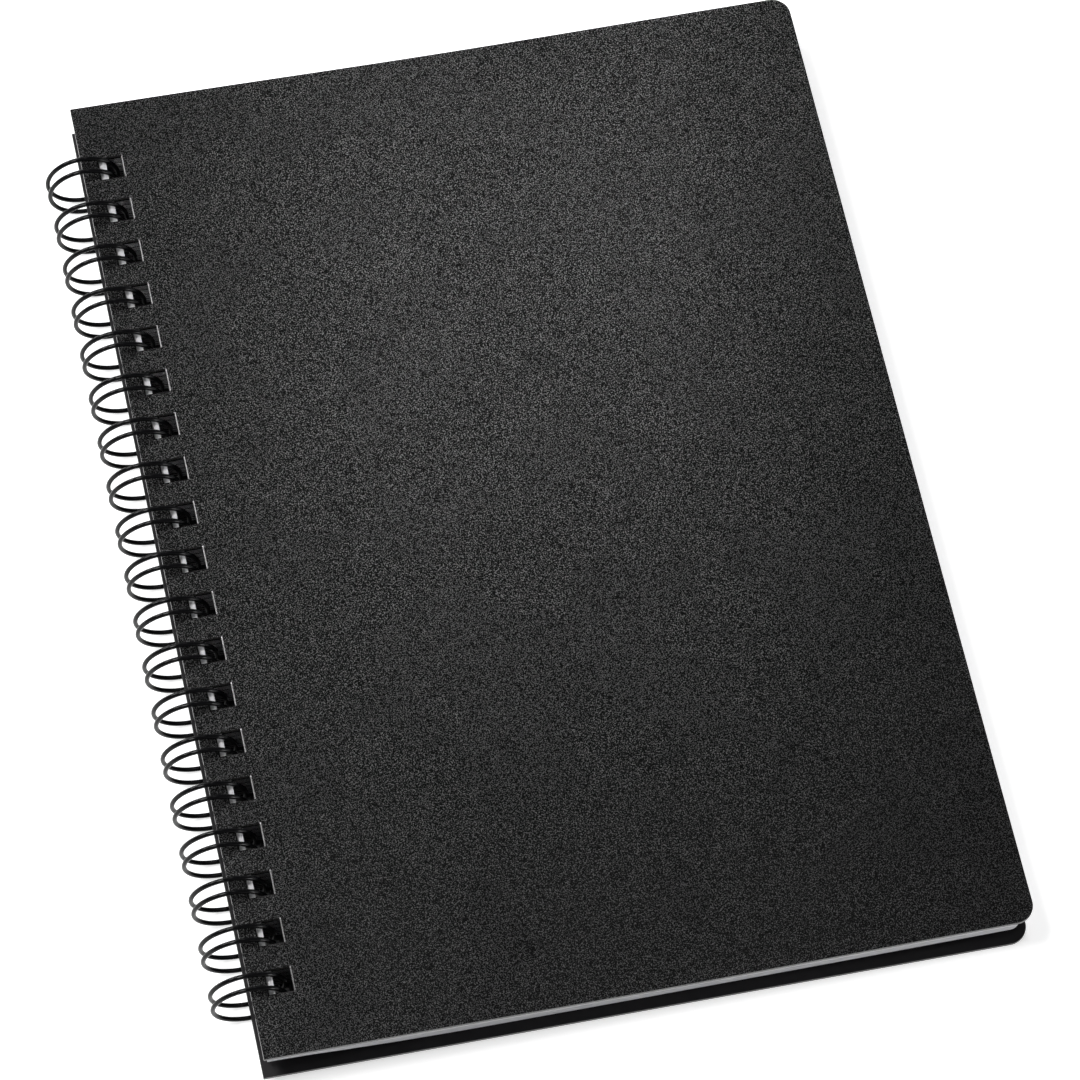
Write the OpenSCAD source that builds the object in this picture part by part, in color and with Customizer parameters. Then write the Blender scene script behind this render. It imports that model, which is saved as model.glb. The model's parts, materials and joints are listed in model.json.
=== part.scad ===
// Side-bound wire notebook: two plastic covers and a block of sheets on one twin-loop wire comb.
// Built flat with its spine edge on the Y axis, then laid down as it rests: on the loops and the fore edge.

/* [Covers] */
// Width of a cover from spine edge to fore edge
cover_w = 127; // [90:1:220]
// Length of a cover from tail to head
cover_l = 177.8; // [120:0.1:300]
// Thickness of a cover sheet
cover_t = 0.7; // [0.4:0.05:1.2]
// Radius of the two fore-edge corners of a cover
cover_corner_r = 3.2; // [1:0.1:10]

/* [Sheets] */
// Thickness of the whole block of sheets
block_t = 7.4; // [5:0.1:8.5]
// How far the covers stand past the sheets at head, tail and fore edge
block_inset = 1.75; // [0.5:0.05:5]
// How far the sheets hang out from the spine edge of the covers
block_shift = 1; // [0.4:0.05:1.4]
// Radius of the two fore-edge corners of the sheets
block_corner_r = 2.6; // [1:0.1:8]
// Distance from the spine over which the last sheets sag back onto the cover
sag_reach = 38; // [20:1:80]
// Air between the sheets and each cover
cover_gap = 0.1; // [0.05:0.05:0.4]

/* [Holes] */
// Side of each square hole
hole_side = 4; // [3.9:0.05:4.6]
// Distance from the spine edge of a sheet or cover to its holes
hole_edge = 2.95; // [2.5:0.05:3.3]
// Centre distance of neighbouring holes, three to the inch
hole_pitch = 8.467; // [8:0.001:12]
// Least distance from head or tail to the centre of the first hole
end_margin = 12; // [6:0.5:20]

/* [Wire] */
// Diameter of the coated wire
wire_d = 0.8; // [0.6:0.05:1]
// Radius of a closed loop, to the middle of the wire
loop_r = 6.1; // [5.9:0.05:6.6]
// Centre distance of the two wires of a loop
loop_gap = 2.38; // [1.6:0.02:2.5]
// Inner bend of the wire where a loop turns into the bar to its neighbour
bar_bend_r = 1; // [0.7:0.05:1.2]
// How far the tips of the loops stand up through the back cover
tip_reach = 0.75; // [0.5:0.05:1.1]
// Gap between the tips and the roots of the closed loops
seam_gap = 0.25; // [0.15:0.05:0.5]
// Straight length of wire at each side of a tip
tip_leg = 0.3; // [0.2:0.05:0.6]
// How much thinner the wire is where it is drawn round a tip
tip_thinning = 0.02; // [0.02:0.01:0.06]

/* [Hidden] */
$fn = 48;

full_turn = 360;
sag_steps = 14;
cut_past = 1;
wire_r = wire_d / 2;
total_t = 2 * (cover_t + cover_gap) + block_t;
loop_z = total_t / 2;

// Row of holes, centred between tail and head
hole_count = floor((cover_l - 2 * end_margin) / hole_pitch) + 1;
first_hole = (cover_l - (hole_count - 1) * hole_pitch) / 2;

// Seam of the closed loops, hidden between the last sheet and the back cover.
// Angles run round a loop from the fore edge side, up over the covers and down round the spine.
tip_z = cover_t + tip_reach - wire_r;
tip_angle = -asin((loop_z - tip_z) / loop_r);
bar_angle = tip_angle + arc_degrees(wire_d + seam_gap);
root_angle = bar_angle + arc_degrees(bar_bend_r);
tip_start = full_turn + tip_angle - arc_degrees(loop_gap / 2);
ring_sweep = tip_start - arc_degrees(tip_leg / 2) - root_angle;
bar_z = loop_z + loop_r * sin(root_angle) - bar_bend_r * cos(root_angle);
bar_x = loop_r * cos(root_angle) + bar_bend_r * sin(root_angle);

// Block of sheets
block_w = cover_w - block_shift - block_inset;
block_l = cover_l - 2 * block_inset;
block_z = cover_t + cover_gap;
lift_z = bar_z + wire_r + cover_gap;
lift_x = bar_x + wire_r + cover_gap;

// The notebook rests on the lowest line of the loops and on the back cover's fore edge.
loop_outer_r = loop_r + wire_r;
rest_tilt = asin(loop_outer_r / norm([cover_w, loop_z])) - atan(loop_z / cover_w);
low_z = loop_z * cos(rest_tilt) - loop_outer_r;
left_x = loop_z * sin(rest_tilt) - loop_outer_r;
right_x = cover_w * cos(rest_tilt) + total_t * sin(rest_tilt);

// Both covers turn about one line at mid-thickness, half a gap outside the spine edge, so that the
// spine edges lie side by side with that gap when a cover is laid fully open.
open_gap = 0.3;
hinge_x = -open_gap / 2 * cos(rest_tilt) + loop_z * sin(rest_tilt) - (left_x + right_x) / 2;
hinge_z = open_gap / 2 * sin(rest_tilt) + loop_z * cos(rest_tilt) - low_z;
echo(hinge_x = hinge_x, hinge_z = hinge_z);

// Degrees of a loop that a length of its wire takes up
function arc_degrees(length) = length / loop_r * 180 / PI;

// Underside of the sheets at a distance x from the spine edge: level over the bars, then sagging
// onto the back cover along a parabola
function sag_z(x) = block_z + (lift_z - block_z) * pow((sag_reach - x) / (sag_reach - lift_x), 2);

// Lays the flat-built notebook down, with its origin under the middle of its box
module laid_down() {
    translate([-(left_x + right_x) / 2, -cover_l / 2, -low_z])
        rotate([0, rest_tilt, 0])
            children();
}

// Sheet outline: square at the spine, rounded at the two fore-edge corners
module sheet_outline(w, l, r) {
    difference() {
        square([w, l]);
        for (side = [0, 1])
            translate([w, side * l])
                mirror([0, side])
                    corner_waste(r);
    }
}

// What is trimmed off a corner to round it
module corner_waste(r) {
    difference() {
        translate([-r, -cut_past])
            square(r + cut_past);
        translate([-r, r])
            circle(r);
    }
}

// The row of square punched holes, tall enough to pass through anything between the faces
module hole_row(x) {
    for (i = [0 : hole_count - 1])
        translate([x, first_hole + i * hole_pitch - hole_side / 2, -cut_past])
            cube([hole_side, hole_side, total_t + 2 * cut_past]);
}

// One cover lying with its lower face at height z
module cover(z) {
    difference() {
        translate([0, 0, z])
            linear_extrude(cover_t)
                sheet_outline(cover_w, cover_l, cover_corner_r);
        hole_row(hole_edge);
    }
}

module front_cover() {
    color("#2e2e2f")
        laid_down()
            cover(total_t - cover_t);
}

module back_cover() {
    color("#29292a")
        laid_down()
            cover(0);
}

// Side view of the block: flat on top, its underside lifted over the bars of the wire comb
module block_profile() {
    sag = [
        for (i = [0 : sag_steps])
            let (x = lift_x + (sag_reach - lift_x) * i / sag_steps)
            [x, sag_z(x)]
    ];
    top = block_z + block_t;
    polygon(concat(
        [[block_shift, top], [block_shift, lift_z]],
        sag,
        [[block_shift + block_w, block_z], [block_shift + block_w, top]]
    ));
}

module page_block() {
    color("#f1f0ec")
        laid_down()
            difference() {
                intersection() {
                    translate([0, block_inset + block_l, 0])
                        rotate([90, 0, 0])
                            linear_extrude(block_l)
                                block_profile();
                    translate([block_shift, block_inset, 0])
                        linear_extrude(total_t)
                            sheet_outline(block_w, block_l, block_corner_r);
                }
                hole_row(hole_edge + block_shift);
            }
}

// A bend of wire in the YZ plane, from one angle on through a sweep, about the X axis
module wire_bend(d, bend_r, from, sweep) {
    rotate([0, 90, 0])
        rotate([0, 0, 90 + from])
            rotate_extrude(angle = sweep)
                translate([bend_r, 0])
                    circle(d = d);
}

// Puts something on the loop at an angle, with its own Z axis along the wire
module on_loop(angle) {
    rotate([0, -angle, 0])
        translate([loop_r, 0, 0])
            children();
}

// Half a twin loop: one ring of wire, its bend at the root and half the bar to the next loop
module half_loop() {
    translate([0, loop_gap / 2, 0])
        rotate([90, 0, 0])
            rotate([0, 0, root_angle])
                rotate_extrude(angle = ring_sweep)
                    translate([loop_r, 0])
                        circle(d = wire_d);
    on_loop(root_angle) {
        translate([0, loop_gap / 2 + bar_bend_r, 0])
            wire_bend(wire_d, bar_bend_r, 180, 90);
        translate([0, loop_gap / 2 + bar_bend_r, -bar_bend_r])
            rotate([-90, 0, 0])
                cylinder(d = wire_d, h = (hole_pitch - loop_gap) / 2 - bar_bend_r);
    }
}

// The rounded tip of a twin loop: a half turn of slightly thinned wire on two short straight legs
module loop_tip() {
    tip_d = wire_d - tip_thinning;
    on_loop(tip_start) {
        wire_bend(tip_d, loop_gap / 2, 0, 180);
        for (side = [-1, 1])
            translate([0, side * loop_gap / 2, -tip_leg])
                cylinder(d = tip_d, h = tip_leg);
    }
}

// A twin loop about its own middle
module twin_loop() {
    half_loop();
    mirror([0, 1, 0])
        half_loop();
    loop_tip();
}

// The whole comb is one wire, bent into twin loops that share their bars
module wire_comb() {
    color("#151516")
        laid_down()
            for (i = [0 : hole_count - 1])
                translate([0, first_hole + i * hole_pitch, loop_z])
                    twin_loop();
}

front_cover();
page_block();
back_cover();
wire_comb();
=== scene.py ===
import json
import math

import bpy
import numpy as np
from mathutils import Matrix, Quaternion, Vector


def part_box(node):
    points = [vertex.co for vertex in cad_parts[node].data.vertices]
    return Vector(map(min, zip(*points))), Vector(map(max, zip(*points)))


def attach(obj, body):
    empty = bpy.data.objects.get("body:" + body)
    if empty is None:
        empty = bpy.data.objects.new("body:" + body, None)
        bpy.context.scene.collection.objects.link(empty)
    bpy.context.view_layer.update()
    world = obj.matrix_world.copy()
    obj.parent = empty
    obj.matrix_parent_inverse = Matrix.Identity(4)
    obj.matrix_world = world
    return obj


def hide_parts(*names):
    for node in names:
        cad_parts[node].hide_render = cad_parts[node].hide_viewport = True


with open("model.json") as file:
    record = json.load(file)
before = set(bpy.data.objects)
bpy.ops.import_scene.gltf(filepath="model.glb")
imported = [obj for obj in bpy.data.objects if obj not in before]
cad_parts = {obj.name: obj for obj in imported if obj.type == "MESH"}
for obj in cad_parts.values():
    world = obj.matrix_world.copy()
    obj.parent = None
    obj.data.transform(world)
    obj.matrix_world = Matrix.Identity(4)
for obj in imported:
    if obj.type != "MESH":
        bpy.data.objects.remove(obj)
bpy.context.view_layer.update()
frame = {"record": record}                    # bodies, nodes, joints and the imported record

# Side-bound wire notebook. Sizes are in millimetres in the notebook's own flat frame: x from the spine edge
# to the fore edge, y from tail to head, z up from the underside of the back cover.

mm = 0.001
nodeBody = {node: body for body, nodes in frame["record"]["behaviour"]["bodies"].items() for node in nodes}

coverSizes = {
    "width": 127.0,
    "thick": 0.7,
    "cornerR": 3.2,
    "cornerSteps": 10,
    "holeSide": 4.0,
    "holeEdge": 2.95,        # spine edge to the row of holes
    "holePitch": 8.467,      # three holes to the inch
    "holeCount": 19,
    "gridStep": 7.0,         # longest cell, so that the curl is smooth
    "rollWide": 0.24,        # band round a hole that the punch draws down
    "rollDeep": 0.10,
    "rimR": 0.07,            # how far the punched and cut edges are broken
    "rimSteps": 3,
    "rimAngle": 40.0,        # edges sharper than this are broken, degrees
}

# How the notebook lies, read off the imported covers
backLow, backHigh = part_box("back_cover")
frontLow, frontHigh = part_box("front_cover")
coverLength = (backHigh.y - backLow.y) / mm
bookTilt = math.asin(((backHigh.z - backLow.z) / mm - coverSizes["thick"]) / coverSizes["width"])
bookThick = (frontHigh.z - backHigh.z) / mm / math.cos(bookTilt) + coverSizes["thick"]
spineCorner = np.array([backLow.x, backLow.y, backHigh.z - coverSizes["thick"] * mm * math.cos(bookTilt)])
holeCentres = coverLength / 2 + coverSizes["holePitch"] * (
    np.arange(coverSizes["holeCount"]) - (coverSizes["holeCount"] - 1) / 2)
print("frame: tilt %.3f degrees, %.2f mm thick, %.1f mm long" % (
    math.degrees(bookTilt), bookThick, coverLength))


def layDown(points):
    # A flat-built point (x, y, z) turns by the rest tilt t about the spine edge, to (x cos t + z sin t, y,
    # z cos t - x sin t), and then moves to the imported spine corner
    x, y, z = points.T
    c, s = math.cos(bookTilt), math.sin(bookTilt)
    return np.stack([x * c + z * s, y, z * c - x * s], axis=1) * mm + spineCorner


def addPiece(name, points, faces, material, node, smooth):
    # Whole arrays of flat-built points and their faces become a mesh that stands for a CAD node and rides
    # on the node's body
    mesh = bpy.data.meshes.new(name)
    mesh.from_pydata(layDown(points), [], faces)
    mesh.polygons.foreach_set("use_smooth", np.full(len(mesh.polygons), smooth))
    mesh.materials.append(material)
    mesh.update()
    piece = bpy.data.objects.new(name, mesh)
    bpy.context.scene.collection.objects.link(piece)
    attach(piece, nodeBody[node])
    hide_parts(node)
    print(name, "-", len(points), "points,", len(faces), "faces")
    return piece


def sheetGrid(width, length, cornerR, cornerSteps, holeYs, xCuts, roll=0.0):
    # Grid lines run along the edges of every hole, so that a hole is one cell left out, and at the distance
    # roll outside them. In the two fore-edge corners the square patch (u, v) of side r is pulled onto a
    # quarter disc: by r u (1 - sqrt(1 - v v / 2)) along x and r v (1 - sqrt(1 - u u / 2)) along y. Gives x
    # and y, the cells that are kept and the points that lie on the edge of a hole.
    holeX, holeSide = coverSizes["holeEdge"], coverSizes["holeSide"]
    ramp = np.linspace(0, cornerR, cornerSteps + 1)
    half = holeSide / 2
    xs = np.concatenate([[0, holeX - roll, holeX, holeX + holeSide, holeX + holeSide + roll], xCuts,
                         width - cornerR + ramp])
    ys = np.concatenate([cornerR - ramp, holeYs - half - roll, holeYs - half, holeYs + half,
                         holeYs + half + roll, length - cornerR + ramp])
    xs, ys = np.unique(np.round(xs, 6)), np.unique(np.round(ys, 6))    # lines that coincide become one
    x, y = np.meshgrid(xs, ys, indexing="ij")
    u = np.clip((x - (width - cornerR)) / cornerR, 0, 1)
    vLow = np.clip((cornerR - y) / cornerR, 0, 1)
    vHigh = np.clip((y - (length - cornerR)) / cornerR, 0, 1)
    v = vLow + vHigh
    roundX = x - cornerR * u * (1 - np.sqrt(1 - v * v / 2))
    roundY = y + cornerR * (vLow - vHigh) * (1 - np.sqrt(1 - u * u / 2))
    midX, midY = (xs[:-1] + xs[1:]) / 2, (ys[:-1] + ys[1:]) / 2
    inColumn = (midX > holeX) & (midX < holeX + holeSide)
    inRow = (np.abs(midY[:, None] - holeYs[None, :]) < half).any(axis=1)
    kept = ~(inColumn[:, None] & inRow[None, :])
    around = np.pad(kept, 1, constant_values=True)
    onHole = ~(around[1:, 1:] & around[:-1, 1:] & around[1:, :-1] & around[:-1, :-1])
    return roundX, roundY, kept, onHole


def slabFaces(kept):
    # Quads of a closed slab over the kept cells of a grid: the top, the underside turned over, and a wall
    # wherever a kept cell meets an empty one. Top points come first, then the same grid of bottom points.
    nx, ny = kept.shape[0] + 1, kept.shape[1] + 1
    top = np.arange(nx * ny).reshape(nx, ny)
    low = top + nx * ny
    quad = np.stack([top[:-1, :-1], top[1:, :-1], top[1:, 1:], top[:-1, 1:]], axis=-1)[kept]
    padded = np.pad(kept, 1)
    alongY = padded[:-1, 1:-1].astype(int) - padded[1:, 1:-1]
    alongX = padded[1:-1, :-1].astype(int) - padded[1:-1, 1:]
    wallX = np.stack([low[:, :-1], low[:, 1:], top[:, 1:], top[:, :-1]], axis=-1)
    wallY = np.stack([low[1:, :], low[:-1, :], top[:-1, :], top[1:, :]], axis=-1)
    return np.concatenate([
        quad, quad[:, ::-1] + nx * ny,
        wallX[alongY > 0], wallX[alongY < 0][:, ::-1],
        wallY[alongX > 0], wallY[alongX < 0][:, ::-1]])


def nodeMaker(tree):
    # Empties a node tree and gives the function that adds to it: a node of some kind with its settings,
    # whose sockets are linked where a socket is given and set where a value is
    tree.nodes.clear()

    def node(kind, inputs=(), **settings):
        made = tree.nodes.new(kind)
        for key, value in settings.items():
            setattr(made, key, value)
        for socket, value in dict(inputs).items():
            if isinstance(value, bpy.types.NodeSocket):
                tree.links.new(value, made.inputs[socket])
            else:
                made.inputs[socket].default_value = value
        return made

    return node


def newMaterial(name):
    # A material with an empty node tree, and the function that adds nodes to it
    material = bpy.data.materials.new(name)
    material.use_nodes = True
    return material, nodeMaker(material.node_tree)


plasticLook = {
    "pitColor": (0.002, 0.002, 0.0021, 1),
    "grainColor": (0.24, 0.24, 0.242, 1),
    "grainScale": 4850.0,            # noise cells per metre, about 0.2 mm each
    "grainDetail": 1.0,
    "grainBreakup": 0.7,             # how much the noise's second octave counts
    "grainTurn": (0.7, 0.5, 0.3),    # radians; keeps the noise's own lattice out of line with the sheet
    "grainFrom": 0.50,               # noise level where a grain starts
    "grainFull": 0.68,
    "shineFull": 0.25,               # share of a grain's height at which it is fully shiny
    "grainDepth": 0.006 * mm,
    "fineScale": 8500.0,
    "fineDetail": 1.0,
    "fineDepth": 0.002 * mm,
    "cloudScale": 45.0,              # slow drift of the sheen across a sheet
    "cloudDetail": 3.0,
    "cloudBand": (0.3, 0.7),         # noise levels over which the drift goes from one end to the other
    "drift": 0.012,
    "pitRoughness": 0.40,
    "grainRoughness": 0.275,
    "specular": 0.08,
    "ior": 1.49,
}


def grainedPlastic(name, look):
    # Black sheet plastic with a sandy grain: the peaks of one noise are small shiny grains, a finer one
    # roughens them, and a slow one drifts the roughness
    material, node = newMaterial(name)
    place = node("ShaderNodeMapping", {"Vector": node("ShaderNodeTexCoord").outputs["Object"],
                                       "Rotation": look["grainTurn"]}).outputs["Vector"]
    grain = node("ShaderNodeTexNoise", {"Vector": place, "Scale": look["grainScale"],
                                        "Detail": look["grainDetail"], "Roughness": look["grainBreakup"]})
    fine = node("ShaderNodeTexNoise", {"Vector": place, "Scale": look["fineScale"],
                                       "Detail": look["fineDetail"]})
    cloud = node("ShaderNodeTexNoise", {"Vector": place, "Scale": look["cloudScale"],
                                        "Detail": look["cloudDetail"]})
    grains = node("ShaderNodeMapRange", {"Value": grain.outputs["Fac"], "From Min": look["grainFrom"],
                                         "From Max": look["grainFull"]}, interpolation_type="SMOOTHSTEP")
    tint = node("ShaderNodeMix", {"Factor": grains.outputs["Result"], "A": look["pitColor"],
                                  "B": look["grainColor"]}, data_type="RGBA")
    shine = node("ShaderNodeMapRange", {"Value": grains.outputs["Result"], "From Max": look["shineFull"]})
    drift = node("ShaderNodeMapRange", {"Value": cloud.outputs["Fac"], "From Min": look["cloudBand"][0],
                                        "From Max": look["cloudBand"][1], "To Min": -look["drift"],
                                        "To Max": look["drift"]})
    gloss = node("ShaderNodeMapRange", {"Value": grains.outputs["Result"], "To Min": look["pitRoughness"],
                                        "To Max": look["grainRoughness"]})
    rough = node("ShaderNodeMath", {0: gloss.outputs["Result"], 1: drift.outputs["Result"]},
                 operation="ADD")
    coarse = node("ShaderNodeBump", {"Height": grain.outputs["Fac"], "Distance": look["grainDepth"],
                                     "Strength": 1.0})
    both = node("ShaderNodeBump", {"Height": fine.outputs["Fac"], "Distance": look["fineDepth"],
                                   "Strength": 1.0, "Normal": coarse.outputs["Normal"]})
    shader = node("ShaderNodeBsdfPrincipled", {"Base Color": tint.outputs["Result"],
                                               "Metallic": shine.outputs["Result"],
                                               "Roughness": rough.outputs["Value"],
                                               "Specular IOR Level": look["specular"],
                                               "IOR": look["ior"],
                                               "Normal": both.outputs["Normal"]})
    node("ShaderNodeOutputMaterial", {"Surface": shader.outputs["BSDF"]})
    return material


cutLook = {
    "color": (0.006, 0.0058, 0.0056, 1),
    "markScale": 2600.0,
    "markDetail": 2.0,
    "markDepth": 0.004 * mm,
    "markStrength": 1.0,
    "markBand": (0.35, 0.65),        # noise levels over which the roughness goes from low to high
    "roughLow": 0.18,
    "roughHigh": 0.28,
    "specular": 0.5,
    "ior": 1.49,
}
innerLook = {
    "color": (0.023, 0.022, 0.0235, 1),
    "markScale": 320.0,
    "markDetail": 2.0,
    "markDepth": 0.003 * mm,
    "markStrength": 1.0,
    "markBand": (0.35, 0.65),
    "roughLow": 0.42,
    "roughHigh": 0.52,
    "specular": 0.12,
    "ior": 1.49,
}


def smoothCoat(name, look):
    # One plain colour under one noise, which marks the surface in relief and makes its shine patchy. It is
    # the covers' plastic where a blade, a punch or a smooth roller has left it, and the coat on the wire.
    material, node = newMaterial(name)
    place = node("ShaderNodeTexCoord").outputs["Object"]
    marks = node("ShaderNodeTexNoise", {"Vector": place, "Scale": look["markScale"],
                                        "Detail": look["markDetail"]})
    rough = node("ShaderNodeMapRange", {"Value": marks.outputs["Fac"], "From Min": look["markBand"][0],
                                        "From Max": look["markBand"][1], "To Min": look["roughLow"],
                                        "To Max": look["roughHigh"]})
    bump = node("ShaderNodeBump", {"Height": marks.outputs["Fac"], "Distance": look["markDepth"],
                                   "Strength": look["markStrength"]})
    shader = node("ShaderNodeBsdfPrincipled", {"Base Color": look["color"],
                                               "Roughness": rough.outputs["Result"],
                                               "Specular IOR Level": look["specular"],
                                               "IOR": look["ior"],
                                               "Normal": bump.outputs["Normal"]})
    node("ShaderNodeOutputMaterial", {"Surface": shader.outputs["BSDF"]})
    return material


frontShape = {
    "low": bookThick - coverSizes["thick"],    # height of its underside
    "curl": 0.5,             # how far its fore corners lift
    "droop": 0.45,           # how far it hangs half-way between spine and fore edge
    "skew": 0.0,             # how far it has turned in at its head
    "innerSide": -1,         # -1 where the underside faces the sheets, 1 where the top does
}
backShape = {
    "low": 0.0,
    "curl": 0.0,
    "droop": 0.0,
    "skew": 0.12,
    "innerSide": 1,
}


def droopAt(x, droop):
    # Hang of the front cover, and of the sheets under it: droop * sin(pi x / width)^3
    return droop * np.sin(np.clip(x / coverSizes["width"], 0, 1) * math.pi) ** 3


def addCover(name, node, shape, grained, inner, cut):
    # A punched sheet. Its fore corners lift by curl * (x / width)^3 * (2 y / length - 1)^2, less the droop,
    # and the upper edges of its holes are drawn down by rollDeep. It is turned by skew / length about the
    # middle of its tail edge.
    s = coverSizes
    cuts = np.arange(s["holeEdge"] + s["holeSide"], s["width"] - s["cornerR"], s["gridStep"])[1:]
    x, y, kept, onHole = sheetGrid(s["width"], coverLength, s["cornerR"], s["cornerSteps"], holeCentres,
                                   cuts, s["rollWide"])
    lift = (shape["curl"] * (x / s["width"]) ** 3 * (2 * y / coverLength - 1) ** 2
            - droopAt(x, shape["droop"]))
    turn = shape["skew"] / coverLength
    bottom = np.stack([x + turn * y, y - turn * (x - s["width"] / 2), shape["low"] + lift], axis=-1)
    top = bottom + s["thick"] * np.array([0, 0, 1])
    top[..., 2] -= s["rollDeep"] * onHole
    points = np.concatenate([top.reshape(-1, 3), bottom.reshape(-1, 3)])
    faces = slabFaces(kept)
    piece = addPiece(name, points, faces, grained, node, True)
    # Sides of the sheet and the drawn-down bands are cut plastic, and the bands keep their flat slope
    isTop = (faces < onHole.size).all(axis=1)
    isUnder = (faces >= onHole.size).all(axis=1)
    isBand = isTop & onHole.ravel()[faces % onHole.size].any(axis=1)
    isCut = isBand | ~(isTop | isUnder)
    isInner = (isUnder if shape["innerSide"] < 0 else isTop) & ~isCut
    piece.data.materials.append(cut)
    piece.data.materials.append(inner)
    piece.data.polygons.foreach_set("material_index", (isCut + 2 * isInner).astype(np.int32))
    piece.data.polygons.foreach_set("use_smooth", ~isBand)
    rim = piece.modifiers.new("brokenEdges", "BEVEL")
    rim.width = s["rimR"] * mm
    rim.segments = s["rimSteps"]
    rim.limit_method = "ANGLE"
    rim.angle_limit = math.radians(s["rimAngle"])
    rim.harden_normals = True
    rim.material = 1         # the cut plastic


frontPlastic = grainedPlastic("frontPlastic", plasticLook)
backPlastic = grainedPlastic("backPlastic", plasticLook)
innerFace = smoothCoat("innerFace", innerLook)
cutEdge = smoothCoat("cutEdge", cutLook)
addCover("frontCover", "front_cover", frontShape, frontPlastic, innerFace, cutEdge)
addCover("backCover", "back_cover", backShape, backPlastic, innerFace, cutEdge)

sheetSizes = {
    "count": 70,
    "thick": 0.08,
    "blockThick": 7.4,
    "inset": 1.96,            # covers stand past the sheets at head and tail
    "foreInset": 1.15,        # and at the fore edge
    "shift": 1.0,             # sheets hang this far out from the spine edge
    "cornerR": 1.8,
    "cornerSteps": 3,
    "coverGap": 0.1,
    "liftHeight": 2.45,       # underside of the last sheet over the bars of the comb
    "liftReach": 6.4,         # level as far as this, then sagging onto the cover
    "sagReach": 38.0,
    "sagSteps": 4,
    "holeClear": 0.5,         # no grid line of the sag is nearer than this to the holes
    "wideCuts": (0.45, 0.62, 0.80),    # grid lines past the sag, as shares of the width
    "foreLift": 1.02,         # the last sheets spring up a little at the fore edge
    "jog": 0.03,              # how far single sheets lie off the pile, at most
    "topSkew": 0.26,          # turn of the top sheet, degrees
    "seed": 7,
}
paperLook = {
    "color": (0.87, 0.87, 0.885, 1),
    "shade": (0.80, 0.80, 0.82, 1),
    "holeShade": (0.012, 0.0115, 0.0115, 1),    # painted shade on the sheets' cut edges deep inside the holes
    "toneRange": (0.2, 1.6),     # how strongly the fibres shade one sheet and another
    "fibreScale": 1400.0,
    "fibreDetail": 4.0,
    "fibreBreakup": 0.6,
    "fibreDepth": 0.008 * mm,
    "fibreStrength": 0.6,
    "roughness": 0.85,
    "specular": 0.2,
    "ior": 1.45,
}


def writingPaper(name, look):
    # Uncoated paper: a fibre noise for relief and tint, and each sheet's own tone from its attribute.
    # Inside the holes the cut edges are painted dark, as painted shade for the depth of the holes.
    material, node = newMaterial(name)
    place = node("ShaderNodeTexCoord").outputs["Object"]
    tone = node("ShaderNodeAttribute", attribute_name="sheetTone").outputs["Fac"]
    fibre = node("ShaderNodeTexNoise", {"Vector": place, "Scale": look["fibreScale"],
                                        "Detail": look["fibreDetail"], "Roughness": look["fibreBreakup"]})
    mixed = node("ShaderNodeMath", {0: fibre.outputs["Fac"], 1: tone}, operation="MULTIPLY")
    clean = node("ShaderNodeMix", {"Factor": mixed.outputs["Value"], "A": look["color"],
                                   "B": look["shade"]}, data_type="RGBA")
    # The hole walls take the painted shade colour in place of the paper's own
    inHole = node("ShaderNodeAttribute", attribute_name="holeWall").outputs["Fac"]
    tint = node("ShaderNodeMix", {"Factor": inHole, "A": clean.outputs["Result"], "B": look["holeShade"]},
                data_type="RGBA")
    bump = node("ShaderNodeBump", {"Height": fibre.outputs["Fac"], "Distance": look["fibreDepth"],
                                   "Strength": look["fibreStrength"]})
    shader = node("ShaderNodeBsdfPrincipled", {"Base Color": tint.outputs["Result"],
                                               "Roughness": look["roughness"],
                                               "Specular IOR Level": look["specular"],
                                               "IOR": look["ior"],
                                               "Normal": bump.outputs["Normal"]})
    node("ShaderNodeOutputMaterial", {"Surface": shader.outputs["BSDF"]})
    return material


def pileFaces(x, s):
    # Heights of the pile's underside and top at x. The underside is level over the bars, falls to the back
    # cover along the parabola (liftHeight - floor) * sag^2, and rises again by foreLift * rise^2, where sag
    # runs from 1 to 0 between liftReach and sagReach and rise from 0 to 1 from there to the fore edge. The
    # top hangs as the front cover does.
    floorZ = coverSizes["thick"] + s["coverGap"]
    sag = np.clip((s["sagReach"] - x) / (s["sagReach"] - s["liftReach"]), 0, 1)
    rise = np.clip((x - s["sagReach"]) / (coverSizes["width"] - s["sagReach"]), 0, 1)
    under = floorZ + (s["liftHeight"] - floorZ) * sag ** 2 + s["foreLift"] * rise ** 2
    over = floorZ + s["blockThick"] - droopAt(x, frontShape["droop"])
    return under, over


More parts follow.
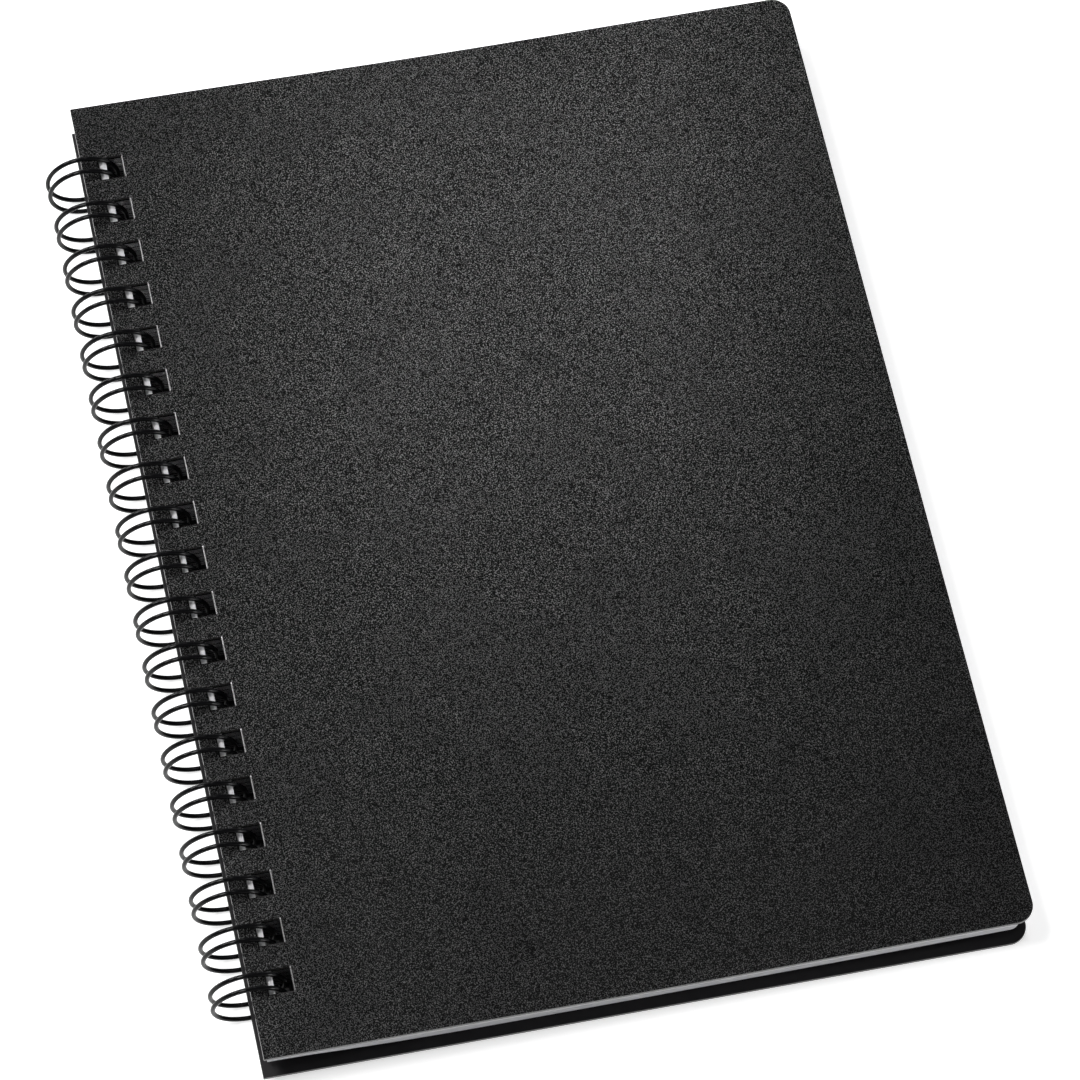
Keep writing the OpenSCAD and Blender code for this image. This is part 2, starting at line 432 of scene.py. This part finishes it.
def addSheets(name, s, toneRange, material):
    # A pile of punched sheets: sheet k lies at the share (k + 0.5) / count of the pile's height. Each one
    # is jogged by a small random shift, and the top one is turned by topSkew.
    rng = np.random.default_rng(s["seed"])
    width = coverSizes["width"] - s["shift"] - s["foreInset"]
    length = coverLength - 2 * s["inset"]
    sagCuts = np.linspace(s["liftReach"], s["sagReach"], s["sagSteps"] + 1) - s["shift"]
    pastHoles = coverSizes["holeEdge"] + coverSizes["holeSide"] + s["holeClear"]
    cuts = np.concatenate([sagCuts[sagCuts > pastHoles], width * np.array(s["wideCuts"])])
    x, y, kept, onHole = sheetGrid(width, length, s["cornerR"], s["cornerSteps"],
                                   holeCentres - s["inset"], cuts)
    x, y = x + s["shift"], y + s["inset"]
    under, over = pileFaces(x, s)
    share = (np.arange(s["count"]) + 0.5) / s["count"]
    level = under + (over - under) * share[:, None, None]
    jogX, jogY = rng.uniform(-s["jog"], s["jog"], (2, s["count"], 1, 1))
    turn = np.zeros((s["count"], 1, 1))
    turn[-1] = math.radians(s["topSkew"])
    px = x + jogX + turn * (y - coverLength / 2)
    py = y + jogY - turn * (x - coverSizes["holeEdge"])
    top = np.stack([px, py, level + s["thick"] / 2], axis=-1).reshape(s["count"], -1, 3)
    points = np.concatenate([top, top - [0, 0, s["thick"]]], axis=1)
    sheet = slabFaces(kept)
    starts = np.arange(s["count"]) * points.shape[1]
    faces = (sheet + starts[:, None, None]).reshape(-1, 4)
    piece = addPiece(name, points.reshape(-1, 3), faces, material, "page_block", False)
    tone = piece.data.attributes.new("sheetTone", "FLOAT", "POINT")
    tone.data.foreach_set("value", np.repeat(rng.uniform(*toneRange, s["count"]), points.shape[1]))
    # A side face whose points all lie on the edge of a hole is the wall of that hole
    isSide = (sheet < onHole.size).any(axis=1) & (sheet >= onHole.size).any(axis=1)
    isWall = isSide & onHole.ravel()[sheet % onHole.size].all(axis=1)
    # These walls get painted shade in the writing paper
    wall = piece.data.attributes.new("holeWall", "FLOAT", "FACE")
    wall.data.foreach_set("value", np.tile(isWall.astype(float), s["count"]))


addSheets("sheetPile", sheetSizes, paperLook["toneRange"], writingPaper("writingPaper", paperLook))

wireSizes = {
    "diameter": 0.8,
    "loopR": 6.1,            # closed loop, to the middle of the wire
    "loopGap": 2.38,         # between the two wires of a loop
    "barBend": 1.0,
    "rootAngle": -15.19,     # where the ring leaves its bars, degrees up from the fore-edge side
    "tipAngle": 326.9,       # outermost point of the tip, on round the spine
    "ringSteps": 72,
    "bendSteps": 6,
    "tipSteps": 12,
    "sides": 14,
    "endSteps": 4,
    "endBulge": 0.5,         # length of a rounded cut end, as a share of the wire's radius
    "endRing": 0.02,         # and the radius of its last ring
    "foreShift": 0.13,       # the comb sits this far in from its middle place, from the head to shiftLoop
    "shiftLoop": 6.0,        # counted from the tail
    "shiftSpread": 2.5,
    "headLean": 0.07,        # lean of the loop nearest the head, in mm along the spine for each mm up
}
wireLook = {
    "color": (0.004, 0.004, 0.0045, 1),
    "markScale": 900.0,
    "markDetail": 2.0,
    "markDepth": 0.004 * mm,
    "markStrength": 0.5,
    "markBand": (0.35, 0.65),
    "roughLow": 0.11,
    "roughHigh": 0.18,
    "specular": 0.17,
    "ior": 1.53,             # a nylon coat
}


def twinLoopFlat(s):
    # One period of the comb as it lies before it is rolled, as points (a, b): a runs along the ring from
    # the bars, b along the spine from the loop's middle. It goes bar, quarter bend, long side, half-round
    # tip, and back.
    half = s["loopGap"] / 2
    reach = math.radians(s["tipAngle"] - s["rootAngle"]) * s["loopR"] - half
    bend = np.linspace(0, math.pi / 2, s["bendSteps"], endpoint=False)
    tip = np.linspace(0, math.pi / 2, s["tipSteps"] // 2, endpoint=False)
    run = np.linspace(0, reach, s["ringSteps"], endpoint=False)
    bar = coverSizes["holePitch"] / 2
    a = np.concatenate([[-s["barBend"]], s["barBend"] * (-np.cos(bend)), run,
                        reach + half * np.sin(tip), [reach + half]])
    b = np.concatenate([[-bar], -half - s["barBend"] * (1 - np.sin(bend)), np.full(len(run), -half),
                        -half * np.cos(tip), [0.0]])
    return np.concatenate([a, a[-2:0:-1]]), np.concatenate([b, -b[-2:0:-1]])


def combLine(s):
    # The flat comb is rolled round a cylinder of radius R: the point (a, b) goes to the angle
    # rootAngle + a / R. The loops stand in by foreShift / (1 + exp((shiftLoop - loop) / shiftSpread)), and
    # the loop nearest the head leans by headLean times its height. Gives the wire's middle line and the
    # cylinder's outward normals.
    a, b = twinLoopFlat(s)
    b = (b[None, :] + holeCentres[:, None]).ravel()
    a = np.tile(a, len(holeCentres))
    a = np.append(a, -s["barBend"])
    b = np.append(b, holeCentres[-1] + coverSizes["holePitch"] / 2)
    angle = math.radians(s["rootAngle"]) + a / s["loopR"]
    out = np.stack([np.cos(angle), np.zeros_like(angle), np.sin(angle)], axis=1)
    loop = (b - holeCentres[0]) / coverSizes["holePitch"]
    shift = s["foreShift"] / (1 + np.exp((s["shiftLoop"] - loop) / s["shiftSpread"]))
    lean = s["headLean"] * np.clip(loop - len(holeCentres) + 2, 0, 1) * out[:, 2] * s["loopR"]
    centre = out * s["loopR"] + np.stack([shift, b + lean, np.full_like(b, bookThick / 2)], axis=1)
    return centre, out


def wireTube(centre, out, s):
    # A circle of the wire's radius is carried along the line, square to it: its two axes are the outward
    # normal and the side normal, made square to the line. At both ends it shrinks with the cosine of an
    # angle that runs to 90 degrees while it goes on past the line with the sine.
    along = np.gradient(centre, axis=0)
    along /= np.linalg.norm(along, axis=1, keepdims=True)
    side = np.cross(along, out)
    side /= np.linalg.norm(side, axis=1, keepdims=True)
    out = np.cross(side, along)
    radius = s["diameter"] / 2
    cap = np.linspace(0, math.pi / 2, s["endSteps"] + 1)[1:]
    shrink = np.concatenate([np.cos(cap)[::-1], np.ones(len(centre)), np.cos(cap)]).clip(s["endRing"])
    past = np.sin(cap)[:, None] * radius * s["endBulge"]
    centre = np.concatenate([(centre[0] - along[0] * past)[::-1], centre, centre[-1] + along[-1] * past])
    out = np.pad(out, ((len(cap), len(cap)), (0, 0)), mode="edge")
    side = np.pad(side, ((len(cap), len(cap)), (0, 0)), mode="edge")
    turn = np.arange(s["sides"]) * 2 * math.pi / s["sides"]
    ring = np.cos(turn)[None, :, None] * out[:, None, :] + np.sin(turn)[None, :, None] * side[:, None, :]
    points = centre[:, None, :] + ring * (radius * shrink)[:, None, None]
    index = np.arange(points.shape[0] * s["sides"]).reshape(-1, s["sides"])
    around = np.roll(index, -1, axis=1)
    quads = np.stack([index[:-1], index[1:], around[1:], around[:-1]], axis=-1).reshape(-1, 4)
    ends = [index[0].tolist(), index[-1][::-1].tolist()]
    return points.reshape(-1, 3), quads.tolist() + ends


combPoints, combFaces = wireTube(*combLine(wireSizes), wireSizes)
addPiece("wireComb", combPoints, combFaces, smoothCoat("coatedWire", wireLook), "wire_comb", True)

cameraSettings = {
    "place": (-0.11361, -0.39964, 0.83268),
    "aim": (0.0021, -0.00696, 0.01),
    "roll": 4.846,
    "lens": 184.21,
    "sensor": 36.0,
    "clipStart": 0.01,
}


def addCamera(s):
    # Looks from place to aim, rolled by some degrees about the line of sight
    lens = bpy.data.cameras.new("photoCamera")
    lens.lens = s["lens"]
    lens.sensor_width = s["sensor"]
    lens.clip_start = s["clipStart"]
    camera = bpy.data.objects.new("photoCamera", lens)
    bpy.context.scene.collection.objects.link(camera)
    camera.location = s["place"]
    sight = (Vector(s["aim"]) - Vector(s["place"])).to_track_quat("-Z", "Y")
    camera.rotation_mode = "QUATERNION"
    camera.rotation_quaternion = sight @ Quaternion((0, 0, 1), math.radians(s["roll"]))
    bpy.context.scene.camera = camera


floorSettings = {
    "size": 12.0,
    "color": (0.82, 0.82, 0.82, 1),
    "nearGlow": 0.70,        # what the camera sees on top of the lit floor, round the notebook
    "farGlow": 1.0,
    "nearR": 0.16,
    "farR": 0.6,
    "underFade": 0.004,      # over which it fades out under the covers
}


def addFloor(s):
    # White floor. Seen by the camera, in a reflection or through glass, it gains a glow that grows with the
    # distance from the notebook, so that it runs into a white background and keeps the shadow. Under the
    # covers there is none: it fades over underFade with the distance from their outline, which is
    # max(|x - middle| - half width, |y - middle| - half length).
    half = s["size"] / 2
    corners = [(-half, -half, 0), (half, -half, 0), (half, half, 0), (-half, half, 0)]
    mesh = bpy.data.meshes.new("floor")
    mesh.from_pydata(corners, [], [(0, 1, 2, 3)])
    material, node = newMaterial("floorWhite")
    place = node("ShaderNodeTexCoord").outputs["Object"]
    far = node("ShaderNodeVectorMath", {0: place}, operation="LENGTH")
    glow = node("ShaderNodeMapRange", {"Value": far.outputs["Value"], "From Min": s["nearR"],
                                       "From Max": s["farR"], "To Min": s["nearGlow"],
                                       "To Max": s["farGlow"]}, interpolation_type="SMOOTHSTEP")
    middle = (frontLow + frontHigh) / 2
    halfSpan = (frontHigh - frontLow) / 2
    offset = node("ShaderNodeVectorMath", {0: place, 1: (middle.x, middle.y, 0)}, operation="SUBTRACT")
    apart = node("ShaderNodeVectorMath", {0: offset.outputs["Vector"]}, operation="ABSOLUTE")
    past = node("ShaderNodeVectorMath", {0: apart.outputs["Vector"], 1: (halfSpan.x, halfSpan.y, 0)},
                operation="SUBTRACT")
    sides = node("ShaderNodeSeparateXYZ", {"Vector": past.outputs["Vector"]})
    outside = node("ShaderNodeMath", {0: sides.outputs["X"], 1: sides.outputs["Y"]}, operation="MAXIMUM")
    shown = node("ShaderNodeMapRange", {"Value": outside.outputs["Value"], "From Min": -s["underFade"],
                                        "From Max": 0.0})
    path = node("ShaderNodeLightPath")
    direct = node("ShaderNodeMath", {0: path.outputs["Is Camera Ray"], 1: path.outputs["Is Glossy Ray"]},
                  operation="ADD", use_clamp=True)
    direct = node("ShaderNodeMath", {0: direct.outputs["Value"], 1: path.outputs["Is Transmission Ray"]},
                  operation="ADD", use_clamp=True)
    seen = node("ShaderNodeMath", {0: direct.outputs["Value"], 1: shown.outputs["Result"]},
                operation="MULTIPLY")
    power = node("ShaderNodeMath", {0: seen.outputs["Value"], 1: glow.outputs["Result"]},
                 operation="MULTIPLY")
    lit = node("ShaderNodeBsdfDiffuse", {"Color": s["color"]})
    shine = node("ShaderNodeEmission", {"Strength": power.outputs["Value"]})
    both = node("ShaderNodeAddShader", {0: lit.outputs["BSDF"], 1: shine.outputs["Emission"]})
    node("ShaderNodeOutputMaterial", {"Surface": both.outputs["Shader"]})
    mesh.materials.append(material)
    floor = bpy.data.objects.new("floor", mesh)
    bpy.context.scene.collection.objects.link(floor)


worldSettings = {
    "horizon": (0.6, 0.6, 0.61, 1),
    "window": (0.9, 0.9, 0.9, 1),    # the horizon towards windowSide
    "windowSide": (-0.8, 0.6, 0.0),
    "windowFrom": 0.45,      # cosine of the angle from windowSide where it fades out
    "overhead": (0.05, 0.05, 0.051, 1),
    "horizonTop": 0.06,      # sine of the elevation where the horizon band starts to fade
    "overheadFrom": 0.42,
}


def addWorld(s):
    # A studio sweep: pale at the horizon and brighter towards windowSide, falling smoothly to a dim ceiling
    # as the sine of the elevation goes from horizonTop to overheadFrom
    world = bpy.data.worlds.new("studio")
    bpy.context.scene.world = world
    world.use_nodes = True
    node = nodeMaker(world.node_tree)
    aim = node("ShaderNodeTexCoord").outputs["Generated"]
    split = node("ShaderNodeSeparateXYZ", {"Vector": aim})
    fade = node("ShaderNodeMapRange", {"Value": split.outputs["Z"], "From Min": s["horizonTop"],
                                       "From Max": s["overheadFrom"]}, interpolation_type="SMOOTHSTEP")
    facing = node("ShaderNodeVectorMath", {0: aim, 1: s["windowSide"]}, operation="DOT_PRODUCT")
    side = node("ShaderNodeMapRange", {"Value": facing.outputs["Value"], "From Min": s["windowFrom"]},
                interpolation_type="SMOOTHSTEP")
    low = node("ShaderNodeMix", {"Factor": side.outputs["Result"], "A": s["horizon"], "B": s["window"]},
               data_type="RGBA")
    color = node("ShaderNodeMix", {"Factor": fade.outputs["Result"], "A": low.outputs["Result"],
                                   "B": s["overhead"]}, data_type="RGBA")
    sky = node("ShaderNodeBackground", {"Color": color.outputs["Result"]})
    node("ShaderNodeOutputWorld", {"Surface": sky.outputs["Background"]})


lampSettings = {
    "mainSoftbox": {"place": (-0.31, 0.02, 0.79), "size": (0.20, 0.20), "roll": 0.0, "watts": 3.5},
    "sheenPanel": {"place": (0.160, 0.482, 0.80), "size": (0.04, 0.14), "roll": 0.0, "watts": 0.29},
    "rimStrip": {"place": (-0.525, 0.34, 0.55), "size": (0.40, 0.10), "roll": 0.0, "watts": 2.5},
    "wireStrip": {"place": (-0.30, 0.63, 0.29), "size": (0.80, 0.16), "roll": -32.4, "watts": 1.2},
    "tailFill": {"place": (0.45, -0.36, 0.13), "size": (0.14, 0.14), "roll": 0.0, "watts": 0.78},
}


def addLamps(lamps):
    # Soft rectangular lamps that point at the middle of the notebook, are rolled by some degrees about that
    # line, and don't show themselves
    for name, s in lamps.items():
        lamp = bpy.data.lights.new(name, "AREA")
        lamp.shape = "RECTANGLE"
        lamp.size, lamp.size_y = s["size"]
        lamp.energy = s["watts"]
        holder = bpy.data.objects.new(name, lamp)
        bpy.context.scene.collection.objects.link(holder)
        holder.location = s["place"]
        holder.rotation_mode = "QUATERNION"
        sight = (-Vector(s["place"])).to_track_quat("-Z", "Y")
        holder.rotation_quaternion = sight @ Quaternion((0, 0, 1), math.radians(s["roll"]))
        holder.visible_camera = False


addCamera(cameraSettings)
addFloor(floorSettings)
addWorld(worldSettings)
addLamps(lampSettings)
bpy.context.scene.view_settings.view_transform = "Standard"
print("camera, floor and lamps are in place")
